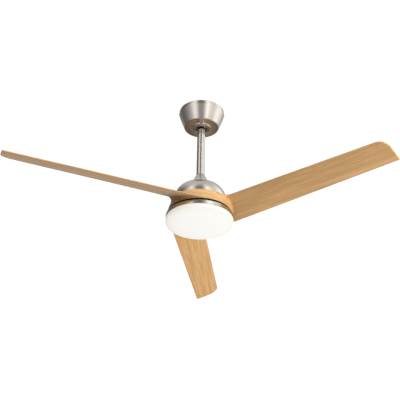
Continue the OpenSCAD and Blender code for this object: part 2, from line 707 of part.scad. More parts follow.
module diffuser() {
    wall = 2;
    top = z_ring_bottom - 0.5;
    r = ring_r;
    low = z_ring_bottom - diffuser_depth;
    side_low = top - 10.5;
    n = 16;
    // a small shoulder below the ring, then a superellipse quarter down to the middle
    shoulder = arc(r - 2, top - 2, 2, 90, 0, 5);
    outer = [for (i = [0:n]) let (a = 90 * i / n)
        [r * pow(cos(a), 2 / 2.2), side_low - (side_low - low) * pow(sin(a), 2 / 1.8)]];
    inner = [for (i = [n:-1:0]) let (a = 90 * i / n)
        [(r - wall) * pow(cos(a), 2 / 2.2), side_low - (side_low - low - wall) * pow(sin(a), 2 / 1.8)]];
    lug_z = z_tab + 1.8;
    color("ivory") {
        rotate_extrude() polygon(concat(
            [[neck_r - 2, top - 2], [neck_r - 2, lug_z + 1.6], [neck_r, lug_z + 1.6], [neck_r, top]],
            shoulder,
            outer,
            inner
        ));
        for (i = [0:2]) sector(ring_r - sheet - 0.5, neck_r - 1, lug_z, lug_z + 1.6,
            i * 120 - twist_lug_deg / 2, i * 120 + twist_lug_deg / 2);
    }
}

mounting_bracket();
canopy();
canopy_trim_ring();
canopy_screws();
receiver_box();
receiver_screws();
terminal_block();
earth_screw();
receiver_lead();
ball_seat_liner();
hanger_ball();
hanger_ball_pins();
downrod();
cover_grommet();
coupling_cover();
yoke();
yoke_set_screws();
clevis_pin();
cotter_pin();
upper_housing();
housing_screws();
motor_shaft();
stator_core();
stator_windings();
motor_lead();
shaft_collar();
light_mount_plate();
lock_washer();
shaft_nut();
pan_standoffs();
neck_shroud();
light_pan();
pan_screws();
led_driver();
led_board();
led_chips();
led_board_screws();
rotor_case_upper();
rotor_case_lower();
rotor_case_screws();
rotor_magnets();
upper_bearing();
lower_bearing();
blade(0);  // blade_1
blade(1);  // blade_2
blade(2);  // blade_3
blade_foot(0);  // blade_foot_1
blade_foot(1);  // blade_foot_2
blade_foot(2);  // blade_foot_3
blade_screws();
diffuser();
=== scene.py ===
"""Looks for a three-blade ceiling fan with a round light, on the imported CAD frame.

Metres, +Z up, origin on the ceiling plane above the motor shaft.
"""
import json
import math

import bmesh
import bpy
import numpy as np
from mathutils import Matrix, Vector


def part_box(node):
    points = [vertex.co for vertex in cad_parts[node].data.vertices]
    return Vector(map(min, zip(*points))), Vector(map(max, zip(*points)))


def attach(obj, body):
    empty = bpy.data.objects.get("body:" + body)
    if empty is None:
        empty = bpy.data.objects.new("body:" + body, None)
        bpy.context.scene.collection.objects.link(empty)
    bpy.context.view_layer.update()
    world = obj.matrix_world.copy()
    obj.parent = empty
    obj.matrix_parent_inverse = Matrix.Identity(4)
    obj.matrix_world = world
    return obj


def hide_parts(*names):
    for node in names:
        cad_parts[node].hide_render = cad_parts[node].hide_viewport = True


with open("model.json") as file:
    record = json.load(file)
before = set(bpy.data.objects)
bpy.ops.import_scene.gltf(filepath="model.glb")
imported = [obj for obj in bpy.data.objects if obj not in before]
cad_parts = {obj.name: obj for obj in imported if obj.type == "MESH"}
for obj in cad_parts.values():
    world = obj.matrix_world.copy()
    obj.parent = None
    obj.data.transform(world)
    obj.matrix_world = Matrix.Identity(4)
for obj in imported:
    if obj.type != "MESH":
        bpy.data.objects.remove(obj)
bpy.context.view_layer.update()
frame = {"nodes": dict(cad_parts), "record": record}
MM = 0.001

# ---------------------------------------------------------------- camera

CAMERA_AT = Vector((0.0101, -2.5621, -1.8640))
CAMERA_PITCH = math.radians(30.68)      # looking up at the fan
CAMERA_YAW = math.radians(-0.22)
CAMERA_ROLL = math.radians(1.20)
CAMERA_LENS = 83.76                     # mm, on a 36 mm sensor


def make_camera():
    forward = Vector((
        math.sin(CAMERA_YAW) * math.cos(CAMERA_PITCH),
        math.cos(CAMERA_YAW) * math.cos(CAMERA_PITCH),
        math.sin(CAMERA_PITCH),
    ))
    right = Vector((math.cos(CAMERA_YAW), -math.sin(CAMERA_YAW), 0))
    up = right.cross(forward)
    x_axis = math.cos(CAMERA_ROLL) * right + math.sin(CAMERA_ROLL) * up
    y_axis = -math.sin(CAMERA_ROLL) * right + math.cos(CAMERA_ROLL) * up
    data = bpy.data.cameras.new("camera")
    data.lens, data.sensor_width = CAMERA_LENS, 36
    data.clip_end = 50
    camera = bpy.data.objects.new("camera", data)
    bpy.context.collection.objects.link(camera)
    turn = Matrix((x_axis, y_axis, -forward)).transposed().to_4x4()
    camera.matrix_world = Matrix.Translation(CAMERA_AT) @ turn
    bpy.context.scene.camera = camera


make_camera()

# ---------------------------------------------------------------- node helpers


class Nodes:
    """A short way to build the node tree of a material or a world."""

    def __init__(self, owner):
        owner.use_nodes = True
        self.owner = owner
        self.tree = owner.node_tree
        self.shader = self.tree.nodes.get("Principled BSDF")

    def add(self, kind, values=None, **attrs):
        node = self.tree.nodes.new("ShaderNode" + kind)
        for key, value in attrs.items():
            setattr(node, key, value)
        for key, value in (values or {}).items():
            self.put(node.inputs[key], value)
        return node

    def put(self, socket, value):
        """Links another node's output to the socket, or sets its value."""
        if isinstance(value, bpy.types.NodeSocket):
            self.tree.links.new(value, socket)
        elif isinstance(value, tuple) and len(value) == 3 and socket.type == "RGBA":
            socket.default_value = (*value, 1)
        else:
            socket.default_value = value

    def set(self, **values):
        for key, value in values.items():
            self.put(self.shader.inputs[key.replace("_", " ")], value)

    def math(self, kind, *values):
        return self.add("Math", dict(enumerate(values)), operation=kind).outputs[0]

    def ramp(self, fac, *stops):
        node = self.add("ValToRGB", {"Fac": fac})
        elements = node.color_ramp.elements
        while len(elements) < len(stops):
            elements.new(0.5)
        for element, (at, color) in zip(elements, stops):
            element.position = at
            element.color = (*color, 1) if isinstance(color, tuple) else (color, color, color, 1)
        return node.outputs["Color"]

    def mix(self, fac, a, b, kind="MIX"):
        node = self.add("Mix", data_type="RGBA", blend_type=kind)
        self.put(node.inputs["Factor"], fac)
        self.put(node.inputs[6], a)
        self.put(node.inputs[7], b)
        return node.outputs[2]

    def coords(self, kind="Object"):
        return self.add("TexCoord").outputs[kind]

    def split(self, vector):
        return self.add("SeparateXYZ", {"Vector": vector}).outputs

    def axis_distance(self, x, y):
        squares = (self.math("MULTIPLY", c, c) for c in (x, y))
        return self.math("SQRT", self.math("ADD", *squares))

    def noise(self, where, scale, detail=3.0, roughness=0.5, distortion=0.0):
        node = self.add("TexNoise", {
            "Vector": where, "Scale": scale, "Detail": detail, "Roughness": roughness,
            "Distortion": distortion})
        return node.outputs["Fac"]

    def bump(self, height, distance, strength):
        node = self.add("Bump", {"Height": height, "Distance": distance, "Strength": strength})
        self.put(self.shader.inputs["Normal"], node.outputs["Normal"])


# ---------------------------------------------------------------- stage and light

FLOOR_Z = -5.6
FLOOR_RADIUS = 40
FLOOR_COLOR = (0.84, 0.84, 0.83)
FLOOR_GLOW = 0.34


def make_stage():
    bpy.ops.mesh.primitive_circle_add(
        vertices=96, radius=FLOOR_RADIUS, fill_type="NGON", location=(0, 0, FLOOR_Z))
    floor = bpy.context.object
    floor.name = "floor"
    floor.visible_glossy = floor.visible_diffuse = False      # it leaves the light on the fan alone
    n = Nodes(bpy.data.materials.new("floor"))
    n.set(
        Base_Color=FLOOR_COLOR,
        Roughness=0.9,
        Emission_Color=FLOOR_COLOR,
        Emission_Strength=FLOOR_GLOW,
    )
    floor.data.materials.append(n.owner)


FAN_MIDDLE = (0, 0, -0.38)
# name, place, side of the square, watts, colour
LIGHTS = (
    ("key", (3.6, -1.6, -2.3), 2.0, 255, (1.0, 0.985, 0.96)),
    ("front", (-0.2, -3.0, 0.75), 1.4, 76, (0.97, 0.985, 1.0)),
    ("fill_low", (0.2, 0.9, -2.3), 2.4, 24, (1, 1, 1)),
    ("top", (0.4, 0.6, 1.8), 2.2, 42, (1, 1, 1)),
)


def add_light(name, at, side, power, color):
    data = bpy.data.lights.new(name, "AREA")
    data.shape, data.size, data.size_y = "RECTANGLE", side, side
    data.energy, data.color = power, color
    light = bpy.data.objects.new(name, data)
    bpy.context.collection.objects.link(light)
    light.location = at
    aim = Vector(FAN_MIDDLE) - Vector(at)
    light.rotation_euler = aim.to_track_quat("-Z", "Y").to_euler()
    light.visible_camera = False
    light.visible_glossy = False      # the metal mirrors the surround alone


# What the bare metal mirrors, near the horizon and higher up, by direction:
# (turn from the camera side in degrees, + to the right; brightness)
SURROUND_LOW = (
    (-180, 0.42), (-140, 0.34), (-112, 0.16), (-88, 0.24), (-62, 0.52), (-50, 0.80),
    (-40, 1.50), (-26, 1.50), (-18, 0.36), (15, 0.36), (21, 1.90), (34, 1.90),
    (44, 1.05), (70, 1.00), (80, 1.70), (98, 1.60), (112, 0.70), (140, 0.50), (180, 0.42),
)
SURROUND_MID = (
    (-180, 0.42), (-145, 0.36), (-118, 0.14), (-92, 0.15), (-68, 0.34), (-53, 0.80),
    (-46, 1.50), (-29, 1.40), (-21, 0.13), (17, 0.11), (24, 1.80), (38, 1.75),
    (48, 1.00), (76, 0.85), (94, 1.60), (112, 1.40), (132, 0.60), (155, 0.48), (180, 0.42),
)
SURROUND_STRENGTH = 2.0       # a ramp holds values up to 1, so it holds brightness / this
OVERHEAD = 0.72
BACKDROP = 1.05               # white, as the camera sees it

# Tints by height, 0 straight down to 1 straight up
TINT_ABOVE = ((0.47, (1.0, 0.975, 0.94)), (1.0, (1.0, 0.98, 0.955)))
TINT_FLOOR = ((0.0, (0.66, 0.64, 0.61)), (0.38, (0.66, 0.63, 0.60))) + TINT_ABOVE
TINT_DARK_END = (
    (0.10, (0.66, 0.64, 0.61)), (0.18, (0.25, 0.22, 0.18)), (0.29, (0.25, 0.22, 0.18)),
    (0.38, (0.62, 0.57, 0.50)),
) + TINT_ABOVE


def make_world():
    world = bpy.data.worlds.new("studio")
    bpy.context.scene.world = world
    n = Nodes(world)
    n.tree.nodes.clear()
    x, y, z = n.split(n.coords("Generated"))
    turn = n.math("ARCTAN2", x, n.math("MULTIPLY", y, -1.0))
    share = n.math("MULTIPLY_ADD", turn, 0.5 / math.pi, 0.5)      # 0 to 1 round the horizon
    height = n.math("MULTIPLY_ADD", z, 0.5, 0.5)
    low_band, mid_band = (
        n.ramp(share, *(((at + 180) / 360, value / SURROUND_STRENGTH) for at, value in stops))
        for stops in (SURROUND_LOW, SURROUND_MID))
    around = n.mix(n.ramp(height, (0.53, 0.0), (0.64, 1.0)), low_band, mid_band)
    ceiling = (OVERHEAD / SURROUND_STRENGTH,) * 3
    around = n.mix(n.ramp(height, (0.84, 0.0), (0.95, 1.0)), around, ceiling)
    # below the horizon it is the pale floor, with the dark end of the room beyond the fan
    beyond = n.ramp(share, (0.06, 1.0), (0.16, 0.0), (0.84, 0.0), (0.94, 1.0))
    tint = n.mix(beyond, n.ramp(height, *TINT_FLOOR), n.ramp(height, *TINT_DARK_END))
    tinted = n.mix(1.0, around, tint, "MULTIPLY")

    seen = n.add("Background", {"Color": (1, 1, 1), "Strength": BACKDROP})
    mirrored = n.add("Background", {"Color": tinted, "Strength": SURROUND_STRENGTH})
    camera_ray = n.add("LightPath").outputs["Is Camera Ray"]
    shown = n.add("MixShader", {
        "Fac": camera_ray, 1: mirrored.outputs["Background"], 2: seen.outputs["Background"]})
    n.add("OutputWorld", {"Surface": shown.outputs["Shader"]})


def make_light():
    make_world()
    for light in LIGHTS:
        add_light(*light)
    bpy.context.scene.view_settings.view_transform = "Standard"


# ---------------------------------------------------------------- materials

FINE_LINES, BROAD_LINES = 1400.0, 260.0         # brush lines per metre
GLOSS_SPREAD = 0.05


def brushed_metal(name, color, dark, roughness, anisotropy):
    """Metal brushed round the vertical axis: fine rings, a little uneven in tone and gloss."""
    n = Nodes(bpy.data.materials.new(name))
    where = n.coords()
    x, y, z = n.split(where)
    turn = n.math("ARCTAN2", y, x)
    # a brush line changes slowly round the part, and fast with height and radius
    along = n.math("ADD", z, n.math("MULTIPLY", n.axis_distance(x, y), 0.7))

    def lines(slow, fast, seed, detail, uneven):
        line = n.add("CombineXYZ", {
            0: n.math("MULTIPLY", turn, slow), 1: n.math("MULTIPLY", along, fast), 2: seed})
        return n.noise(line.outputs[0], 1.0, detail, uneven)

    fine = lines(1.2, FINE_LINES, 0.0, 4.0, 0.65)
    broad = lines(0.5, BROAD_LINES, 3.0, 2.0, 0.5)
    cloud = n.noise(where, 14.0, 3.0, 0.6)
    tone = n.math("ADD", n.math("MULTIPLY", fine, 0.6), n.math("MULTIPLY", broad, 0.4))
    gloss = n.math("MULTIPLY", n.math("ADD", fine, cloud), GLOSS_SPREAD)
    n.set(
        Base_Color=n.mix(n.ramp(tone, (0.30, 0.0), (0.70, 1.0)), dark, color),
        Roughness=n.math("ADD", roughness - GLOSS_SPREAD, gloss),
        Metallic=1.0,
        Anisotropic=anisotropy,
        Tangent=n.add("Tangent", direction_type="RADIAL", axis="Z").outputs["Tangent"],
    )
    n.bump(fine, 0.00002, 0.08)
    return n.owner


OAK_TONES = (
    (0.30, (0.42, 0.245, 0.092)), (0.50, (0.49, 0.290, 0.115)), (0.72, (0.55, 0.335, 0.140)))
OAK_STREAK = (0.30, 0.165, 0.065)
OAK_FIBRE = (0.34, 0.19, 0.08)
OAK_PORE = (0.20, 0.105, 0.040)


def oak(name):
    """Light oak: long pores and streaks along the grain, which runs along the UV map's U."""
    n = Nodes(bpy.data.materials.new(name))
    uv = n.coords("UV")

    def grain(along, across, seed, detail, roughness=0.55, distortion=0.0):
        where = n.add("Mapping", {
            "Vector": uv, "Scale": (along, across, 1), "Location": (seed, seed * 0.7, seed)})
        return n.noise(where.outputs["Vector"], 1.0, detail, roughness, distortion)

    cloud = grain(2.2, 12.0, 21.0, 3.0, 0.5, 0.6)
    streak = n.ramp(grain(5.0, 160.0, 3.1, 4.0, 0.6, 0.3), (0.42, 0.55), (0.60, 0.0))
    fine = grain(22.0, 900.0, 7.7, 3.0, 0.6)
    fibre = n.ramp(fine, (0.35, 1.0), (0.55, 0.0))
    pore = n.ramp(grain(60.0, 1500.0, 12.4, 2.0, 0.5), (0.30, 1.0), (0.38, 0.0))
    color = n.mix(streak, n.ramp(cloud, *OAK_TONES), OAK_STREAK)
    color = n.mix(n.math("MULTIPLY", fibre, 0.45), color, OAK_FIBRE)
    color = n.mix(n.math("MULTIPLY", pore, 0.5), color, OAK_PORE)
    n.set(
        Base_Color=color,
        Roughness=n.math("ADD", 0.44, n.math("MULTIPLY", fine, 0.18)),
        Specular_IOR_Level=0.4,
        Coat_Weight=0.3,
        Coat_Roughness=0.25,
        Sheen_Weight=0.15,
        Sheen_Roughness=0.35,
    )
    height = n.math("SUBTRACT", n.math("MULTIPLY", fine, 0.5), n.math("MULTIPLY", pore, 0.6))
    n.bump(height, 0.00012, 0.5)
    return n.owner


OPAL_REACH = 0.110            # metres from the axis, where the glow's ramp ends
# glow by distance from the axis: the dimmer, warmer stops near the rim are painted shade that shows
# the bowl's shape
OPAL_GLOW_AND_PAINTED_RIM_SHADE = (
    (0.0, (0.80, 0.795, 0.775)), (0.72, (0.80, 0.79, 0.76)), (0.93, (0.76, 0.735, 0.685)),
    (1.0, (0.68, 0.645, 0.58)))


def opal(name):
    """Opal diffuser, lit from inside: nearly even, with painted shade that makes its glow dimmer
    and warmer towards its rim.
    """
    n = Nodes(bpy.data.materials.new(name))
    x, y, _ = n.split(n.coords())
    # share of the way out to the rim, which sets how much painted rim shade the glow gets
    out = n.math("DIVIDE", n.axis_distance(x, y), OPAL_REACH)
    mottle = n.noise(n.coords(), 60.0, 2.0)
    n.set(
        Base_Color=(0.20, 0.20, 0.195),
        Roughness=n.math("ADD", 0.34, n.math("MULTIPLY", mottle, 0.1)),
        Specular_IOR_Level=0.3,
        Emission_Color=n.ramp(out, *OPAL_GLOW_AND_PAINTED_RIM_SHADE),
        Emission_Strength=0.86,
    )
    return n.owner


def moulded(name, color, roughness, metallic=0.0, grain=600.0, depth=0.00005, vary=0.08):
    """Moulded plastic, rubber, cast or plated metal: a fine texture, a little colour drift."""
    n = Nodes(bpy.data.materials.new(name))
    fine = n.noise(n.coords(), grain, 3.0, 0.6)
    cloud = n.noise(n.coords(), 25.0, 3.0, 0.55)
    darker = tuple(c * (1 - vary * 2) for c in color)
    n.set(
        Base_Color=n.mix(n.ramp(cloud, (0.35, 0.0), (0.65, 1.0)), darker, color),
        Roughness=n.math("ADD", roughness - 0.05, n.math("MULTIPLY", fine, 0.12)),
        Metallic=metallic,
    )
    n.bump(fine, depth, 0.4)
    return n.owner


MOULDED = {
    "zinc_steel": ((0.70, 0.70, 0.68), 0.34, 1.0, 900.0, 0.00002),
    "dark_steel": ((0.20, 0.20, 0.21), 0.42, 1.0, 700.0, 0.00003),
    "core_steel": ((0.30, 0.30, 0.32), 0.45, 1.0, 900.0, 0.00004),
    "cast_aluminium": ((0.62, 0.62, 0.62), 0.48, 1.0, 500.0, 0.00008),
    "brass": ((0.72, 0.52, 0.22), 0.30, 1.0, 900.0, 0.00002),
    "copper_enamel": ((0.60, 0.24, 0.09), 0.32, 0.8, 900.0, 0.00004),
    "black_plastic": ((0.022, 0.021, 0.020), 0.45),
    "white_plastic": ((0.76, 0.76, 0.73), 0.42, 0.0, 600.0, 0.00005, 0.03),
    "board": ((0.86, 0.86, 0.83), 0.35, 0.0, 300.0, 0.00005, 0.02),
    "led": ((0.90, 0.72, 0.22), 0.30, 0.0, 400.0, 0.00005, 0.03),
    "rubber": ((0.018, 0.018, 0.018), 0.62, 0.0, 500.0, 0.0001),
    "cable": ((0.030, 0.030, 0.030), 0.5),
    "ferrite": ((0.055, 0.055, 0.06), 0.55, 0.3, 700.0, 0.00006),
}
MATERIALS = {name: moulded(name, *look) for name, look in MOULDED.items()}
MATERIALS["brushed_nickel"] = brushed_metal(
    "brushed_nickel", (0.68, 0.645, 0.605), (0.60, 0.565, 0.525), 0.24, 0.6)
MATERIALS["oak"] = oak("oak")
MATERIALS["opal"] = opal("opal")
SLOT_OF = {s["node"]: s["material_slot"] for s in frame["record"]["subparts"]}


def dress(obj, slot):
    obj.data.materials.clear()
    obj.data.materials.append(MATERIALS[slot])


for node_name, node in frame["nodes"].items():
    node.data.materials.clear()
    node.data.materials.append(MATERIALS[SLOT_OF[node_name]])

# ---------------------------------------------------------------- mesh helpers


def make_object(name, mesh, body, slot, node, sharp=32):
    """A visual piece in place of a CAD node; edges over `sharp` degrees stay crisp."""
    mesh.shade_smooth()
    mesh.set_sharp_from_angle(angle=math.radians(sharp))
    obj = bpy.data.objects.new(name, mesh)
    bpy.context.collection.objects.link(obj)
    dress(obj, slot)
    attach(obj, body)
    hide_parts(node)


def tidy_mesh(name, points, faces, uvs=None, merge=2e-6):
    """A mesh from points and faces, with doubles merged and its faces turned outwards."""
    mesh = bpy.data.meshes.new(name)
    mesh.from_pydata([tuple(p) for p in points], [], faces)
    if uvs is not None:
        layer = mesh.uv_layers.new(name="grain")
        layer.data.foreach_set("uv", np.asarray(uvs, dtype=np.float32).ravel())
    bm = bmesh.new()
    bm.from_mesh(mesh)
    bmesh.ops.remove_doubles(bm, verts=bm.verts, dist=merge)
    bmesh.ops.dissolve_degenerate(bm, edges=bm.edges, dist=merge / 2)
    bmesh.ops.recalc_face_normals(bm, faces=bm.faces)
    bm.to_mesh(mesh)
    bm.free()
    return mesh


def arc(x, z, radius, start, end, count):
    """Points of an arc in the (radius, height) plane; angles in degrees."""
    angles = [math.radians(start + (end - start) * i / count) for i in range(count + 1)]
    return [(x + radius * math.cos(a), z + radius * math.sin(a)) for a in angles]


def swept_to(profile, a):
    return [(r * MM * math.cos(a), r * MM * math.sin(a), z * MM) for r, z in profile]


def turned(profile, segments=192):
    """Points and faces of a closed (radius, height) profile in mm, turned round the Z axis."""
    count = len(profile)
    points, faces = [], []
    for i in range(segments):
        points += swept_to(profile, 2 * math.pi * i / segments)
    for i in range(segments):
        j = (i + 1) % segments
        for k in range(count):
            m = (k + 1) % count
            faces.append((i * count + k, j * count + k, j * count + m, i * count + m))
    return points, faces


def sectors(profile, half_span, segments=14):
    """A (radius, height) profile in mm, swept over three equal spans that are 120 degrees apart."""
    count = len(profile)
    points, faces = [], []
    for middle in (0, 120, 240):
        base = len(points)
        start, end = middle - half_span, middle + half_span
        for i in range(segments + 1):
            points += swept_to(profile, math.radians(start + (end - start) * i / segments))
        for i in range(segments):
            here, there = base + i * count, base + (i + 1) * count
            for k in range(count):
                m = (k + 1) % count
                faces.append((here + k, there + k, there + m, here + m))
        faces.append(tuple(base + k for k in range(count)))
        faces.append(tuple(base + segments * count + k for k in range(count)))
    return points, faces


def joined(*shapes):
    points, faces = [], []
    for more_points, more_faces in shapes:
        base = len(points)
        points += more_points
        faces += [tuple(base + k for k in face) for face in more_faces]
    return points, faces


def box_mm(node):
    low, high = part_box(node)
    return [c * 1000 for c in low], [c * 1000 for c in high]


# ---------------------------------------------------------------- turned metal and opal

SHEET = 1.2                   # mm, thickness of the spun covers


def make_canopy():
    low, high = box_mm("canopy")
    rim_r, top, bottom = high[0], high[2], low[2]
    low_r, hole_r, rim_tall = 57.0, 22.0, 13.0
    bend, fillet, rim_round = 12.0, 5.0, 0.6
    rim_low = top - rim_tall
    lean = math.degrees(math.atan2(rim_r - low_r, rim_low - bottom))
    bend_x, bend_z = rim_r - bend, rim_low + bend * math.tan(math.radians(lean / 2))
    fillet_x = low_r - fillet * math.tan(math.radians((90 - lean) / 2))
    fillet_z = bottom + fillet
    outer = [(hole_r, bottom)] + arc(fillet_x, fillet_z, fillet, -90, -lean, 14)
    outer += arc(bend_x, bend_z, bend, -lean, 0, 12)
    outer += arc(rim_r - rim_round, top - rim_round, rim_round, 0, 90, 4)
    inner = [(rim_r - SHEET, top)] + arc(bend_x, bend_z, bend - SHEET, 0, -lean, 12)
    inner += arc(fillet_x, fillet_z, fillet - SHEET, -lean, -90, 14) + [(hole_r, bottom + SHEET)]
    mesh = tidy_mesh("canopy_shell", *turned(outer + inner))
    make_object("canopy_shell", mesh, "ceiling_mount", "brushed_nickel", "canopy")

    # the ring's collar goes up through the hole, and its rounded flange lies below the canopy
    ring_hole, collar_r, flange_r, seat = 20.3, 21.9, 33.0, bottom - 0.02
    outer_round, inner_round = 4.5, 1.8
    ring = [(ring_hole, bottom + 2), (collar_r, bottom + 2), (collar_r, seat), (flange_r, seat)]
    ring += arc(flange_r - outer_round, seat, outer_round, 0, -70, 12)
    ring += [(26.0, bottom - 5.4), (23.0, bottom - 5.7)]
    ring += arc(ring_hole + inner_round, bottom - 3.9, inner_round, -90, -180, 8)
    mesh = tidy_mesh("trim_ring", *turned(ring, 128))
    make_object("trim_ring", mesh, "ceiling_mount", "brushed_nickel", "canopy_trim_ring")


def make_stem():
    low, high = box_mm("downrod")
    r, wall = high[0], 2
    rod = [(r - wall, low[2]), (r, low[2]), (r, high[2]), (r - wall, high[2])]
    mesh = tidy_mesh("rod_tube", *turned(rod, 96))
    make_object("rod_tube", mesh, "stem", "brushed_nickel", "downrod")

    low, high = box_mm("coupling_cover")
    top, foot, top_r, foot_r = high[2], low[2], 14.8, high[0]
    lip_r = top_r - 0.8
    cover = [(lip_r, top)] + arc(lip_r, top - 2, 2.0, 90, 23, 10)
    cover += [(foot_r - 1.2, foot + 2.8), (foot_r - 0.55, foot + 1.5), (foot_r - 0.2, foot + 0.7)]
    cover += [(foot_r, foot), (foot_r - 1.4, foot), (foot_r - 2.6, foot + 3)]
    cover += [(top_r - 0.5, top - 3.2), (lip_r, top - 3)]
    mesh = tidy_mesh("coupling_cone", *turned(cover, 128))
    make_object("coupling_cone", mesh, "stem", "brushed_nickel", "coupling_cover", sharp=50)

    low, high = box_mm("upper_housing")
    radius, tall, foot = high[0], high[2] - low[2], low[2]
    steps, hole, sunk = 64, 18.2, 0.05
    round_side, round_top = 2 / 2.9, 2 / 2.2      # powers of the dome's rounded outline

    def shell(r, h):
        points = []
        for i in range(steps):
            a = math.pi / 2 * (i / steps)
            points.append((r * math.cos(a) ** round_side, foot + h * math.sin(a) ** round_top))
        return [p for p in points if p[0] > hole + 2]

    outside = shell(radius, tall) + [(hole, high[2] - sunk)]
    inside = [(hole, high[2] - SHEET - sunk)] + shell(radius - SHEET, tall - SHEET)[::-1]
    mesh = tidy_mesh("dome", *turned(outside + inside, 224))
    make_object("dome", mesh, "stem", "brushed_nickel", "upper_housing", sharp=40)


def make_light_cover():
    low, high = box_mm("light_pan")
    r, top, foot = high[0], high[2], low[2]
    bend, edge, tab_r, tab_tall = 1.5, 0.6, 102.0, 1.5
    pan = [(20.0, top - 2), (20.0, top)] + arc(r - bend, top - bend, bend, 90, 0, 8)
    pan += arc(r - edge, foot + edge, edge, 0, -90, 6) + [(r - SHEET, foot), (r - SHEET, top - 2)]
    tab_z = foot + 4
    tab_top = tab_z + tab_tall
    tab = [(tab_r, tab_z), (r - edge, tab_z), (r - edge, tab_top), (tab_r, tab_top)]
    mesh = tidy_mesh("light_ring", *joined(turned(pan, 224), sectors(tab, 11)))
    make_object("light_ring", mesh, "stem", "brushed_nickel", "light_pan")

    low, high = box_mm("diffuser")
    wall, neck, r = 2.0, 101.3, high[0]
    seat = foot - 0.5
    side_low = seat - 10.5
    lug, lug_tall, lug_r = foot + 5.8, 1.6, 105.8
    steps = 40
    round_side, round_foot = 2 / 2.2, 2 / 1.8     # powers of the bowl's rounded outline

    def bowl(radius, depth):
        points = []
        for i in range(steps + 1):
            a = math.pi / 2 * i / steps
            x = radius * math.cos(a) ** round_side if i < steps else 0.0
            points.append((x, side_low - depth * math.sin(a) ** round_foot))
        return points

    depth = side_low - low[2]
    lug_top = lug + lug_tall
    cover = [(neck - wall, seat - wall), (neck - wall, lug_top), (neck, lug_top), (neck, seat)]
    cover += arc(r - wall, seat - wall, wall, 90, 0, 8)
    cover += bowl(r, depth) + bowl(r - wall, depth - wall)[::-1]
    tab = [(neck - 1, lug), (lug_r, lug), (lug_r, lug_top), (neck - 1, lug_top)]
    mesh = tidy_mesh("opal_cover", *joined(turned(cover, 224), sectors(tab, 8)))
    make_object("opal_cover", mesh, "diffuser", "opal", "diffuser", sharp=50)


# ---------------------------------------------------------------- blades
# All in mm, with the blade along +X and its high edge near the axis.

HEADING = -36.5                                 # degrees, direction of the first blade
SPAN_R = 660.0
HUB_TOP_D, HUB_BOTTOM_D, HUB_TALL = 186.0, 206.0, 38.0
SLOPE = math.tan(math.radians(20.2))            # of the pitched blade
BLADE_DROP = 0.9                                # of its mid plane below the hub's top
LOW_EDGE, LOW_TAPER = HUB_BOTTOM_D / 2 + 0.3, 0.0385
HIGH_EDGE, HIGH_TAPER = 4.0, 0.0058
EDGE_THICK, CROWN = 2.4, 3.6                    # thickness at the edges, and what the middle adds
EDGE_ROUND = 1.3
FLARE = 36.0                                    # how far the high edge widens at the root
TIP_CORNER, TIP_NIP, TIP_SKEW = 34.0, 3.0, 0.072
FILLET_TOP, FILLET_LOW = 14.0, 12.0
GUSSET = 14.0                                   # added to the lower fillet at the high edge
FILLET_FADE, GUSSET_FADE = 0.10, 0.16           # shares of the chord
EDGE_CLEAR = 0.6                                # between the root and the band's edges
WALL = 3.0
LIP = 1.0                                       # rounding of the hub band's edges
LIP_CHAMFER = 0.3
ROWS, BAND_COLUMNS, FILLET_STEPS = 105, 26, 10
GAP = 0.12                                      # degrees, at the start of each third of the band
GRAIN_RADIUS = 98                               # unrolls the band's wall onto the grain map
GRAIN_SHIFT = (900, 333)                        # so that no two blades show the same wood


def low_y(x):
    return LOW_EDGE - LOW_TAPER * x * x / (x + 50)


def high_y(x):
    return HIGH_EDGE - HIGH_TAPER * x


def straight_y(s, x):
    return (1 - s) * high_y(x) + s * low_y(x)


def flare_y(s, d):
    left = 0.0 if d >= FLARE else 1 - math.sqrt(1 - (1 - max(d, 0.0) / FLARE) ** 2)
    return FLARE * (1 - s) ** 4 * left


def smooth(t):
    t = min(max(t, 0.0), 1.0)
    return t * t * (3 - 2 * t)


def rounding(e):
    """Share of the thickness that is left at e mm from an edge."""
    return math.sqrt(max(0.0, 1 - (1 - min(e / EDGE_ROUND, 1.0)) ** 2))


def corner_cut(e, radius):
    """How far a rounded corner takes the tip back, at e mm from the corner's edge."""
    return 0.0 if e >= radius else radius - math.sqrt(radius ** 2 - (radius - e) ** 2)


def spin_z(angle):
    c, s = math.cos(angle), math.sin(angle)
    return np.array([[c, -s, 0], [s, c, 0], [0, 0, 1]])


